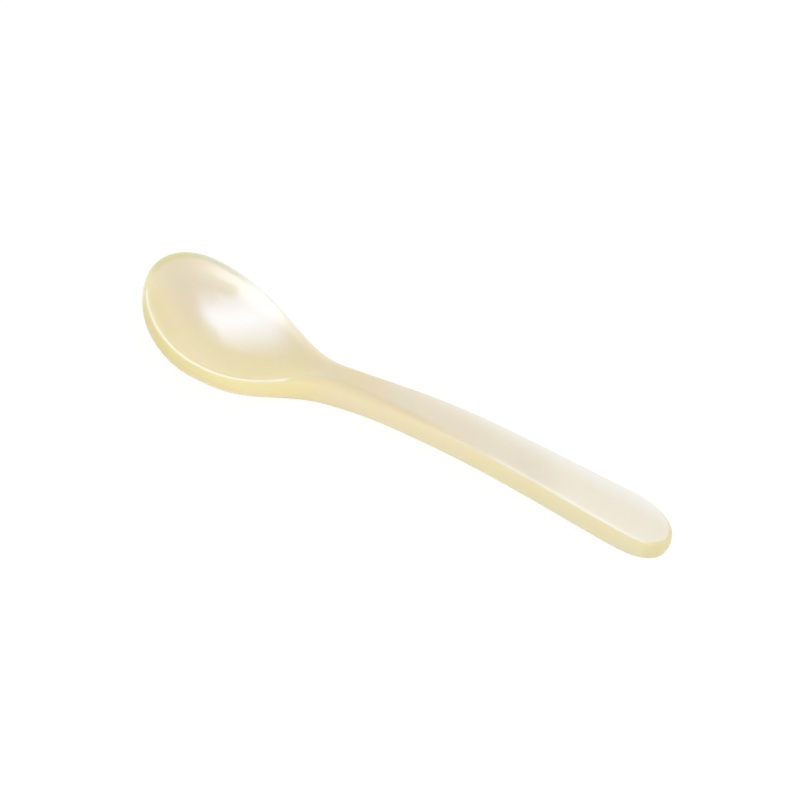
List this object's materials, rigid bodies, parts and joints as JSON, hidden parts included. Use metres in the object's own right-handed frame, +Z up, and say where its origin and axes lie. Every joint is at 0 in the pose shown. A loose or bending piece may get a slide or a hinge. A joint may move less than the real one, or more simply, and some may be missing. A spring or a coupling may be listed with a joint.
{
  "type": "salt spoon",
  "caption": "Small salt spoon of pale mother-of-pearl with an egg-shaped bowl, a slim neck and a flat arched handle that widens to a rounded end.",
  "frame": {"origin": "on the surface that the spoon lies on, under the middle of its length and width", "axes": "+X along the spoon from the tip of the bowl to the end of the handle, +Y across it, +Z up out of the bowl"},
  "size_m": [0.08, 0.0212, 0.0074],
  "materials": {
    "nacre": "gloss"
  },
  "bodies": {
    "root": {"spoon": "nacre"}
  },
  "joints": []
}
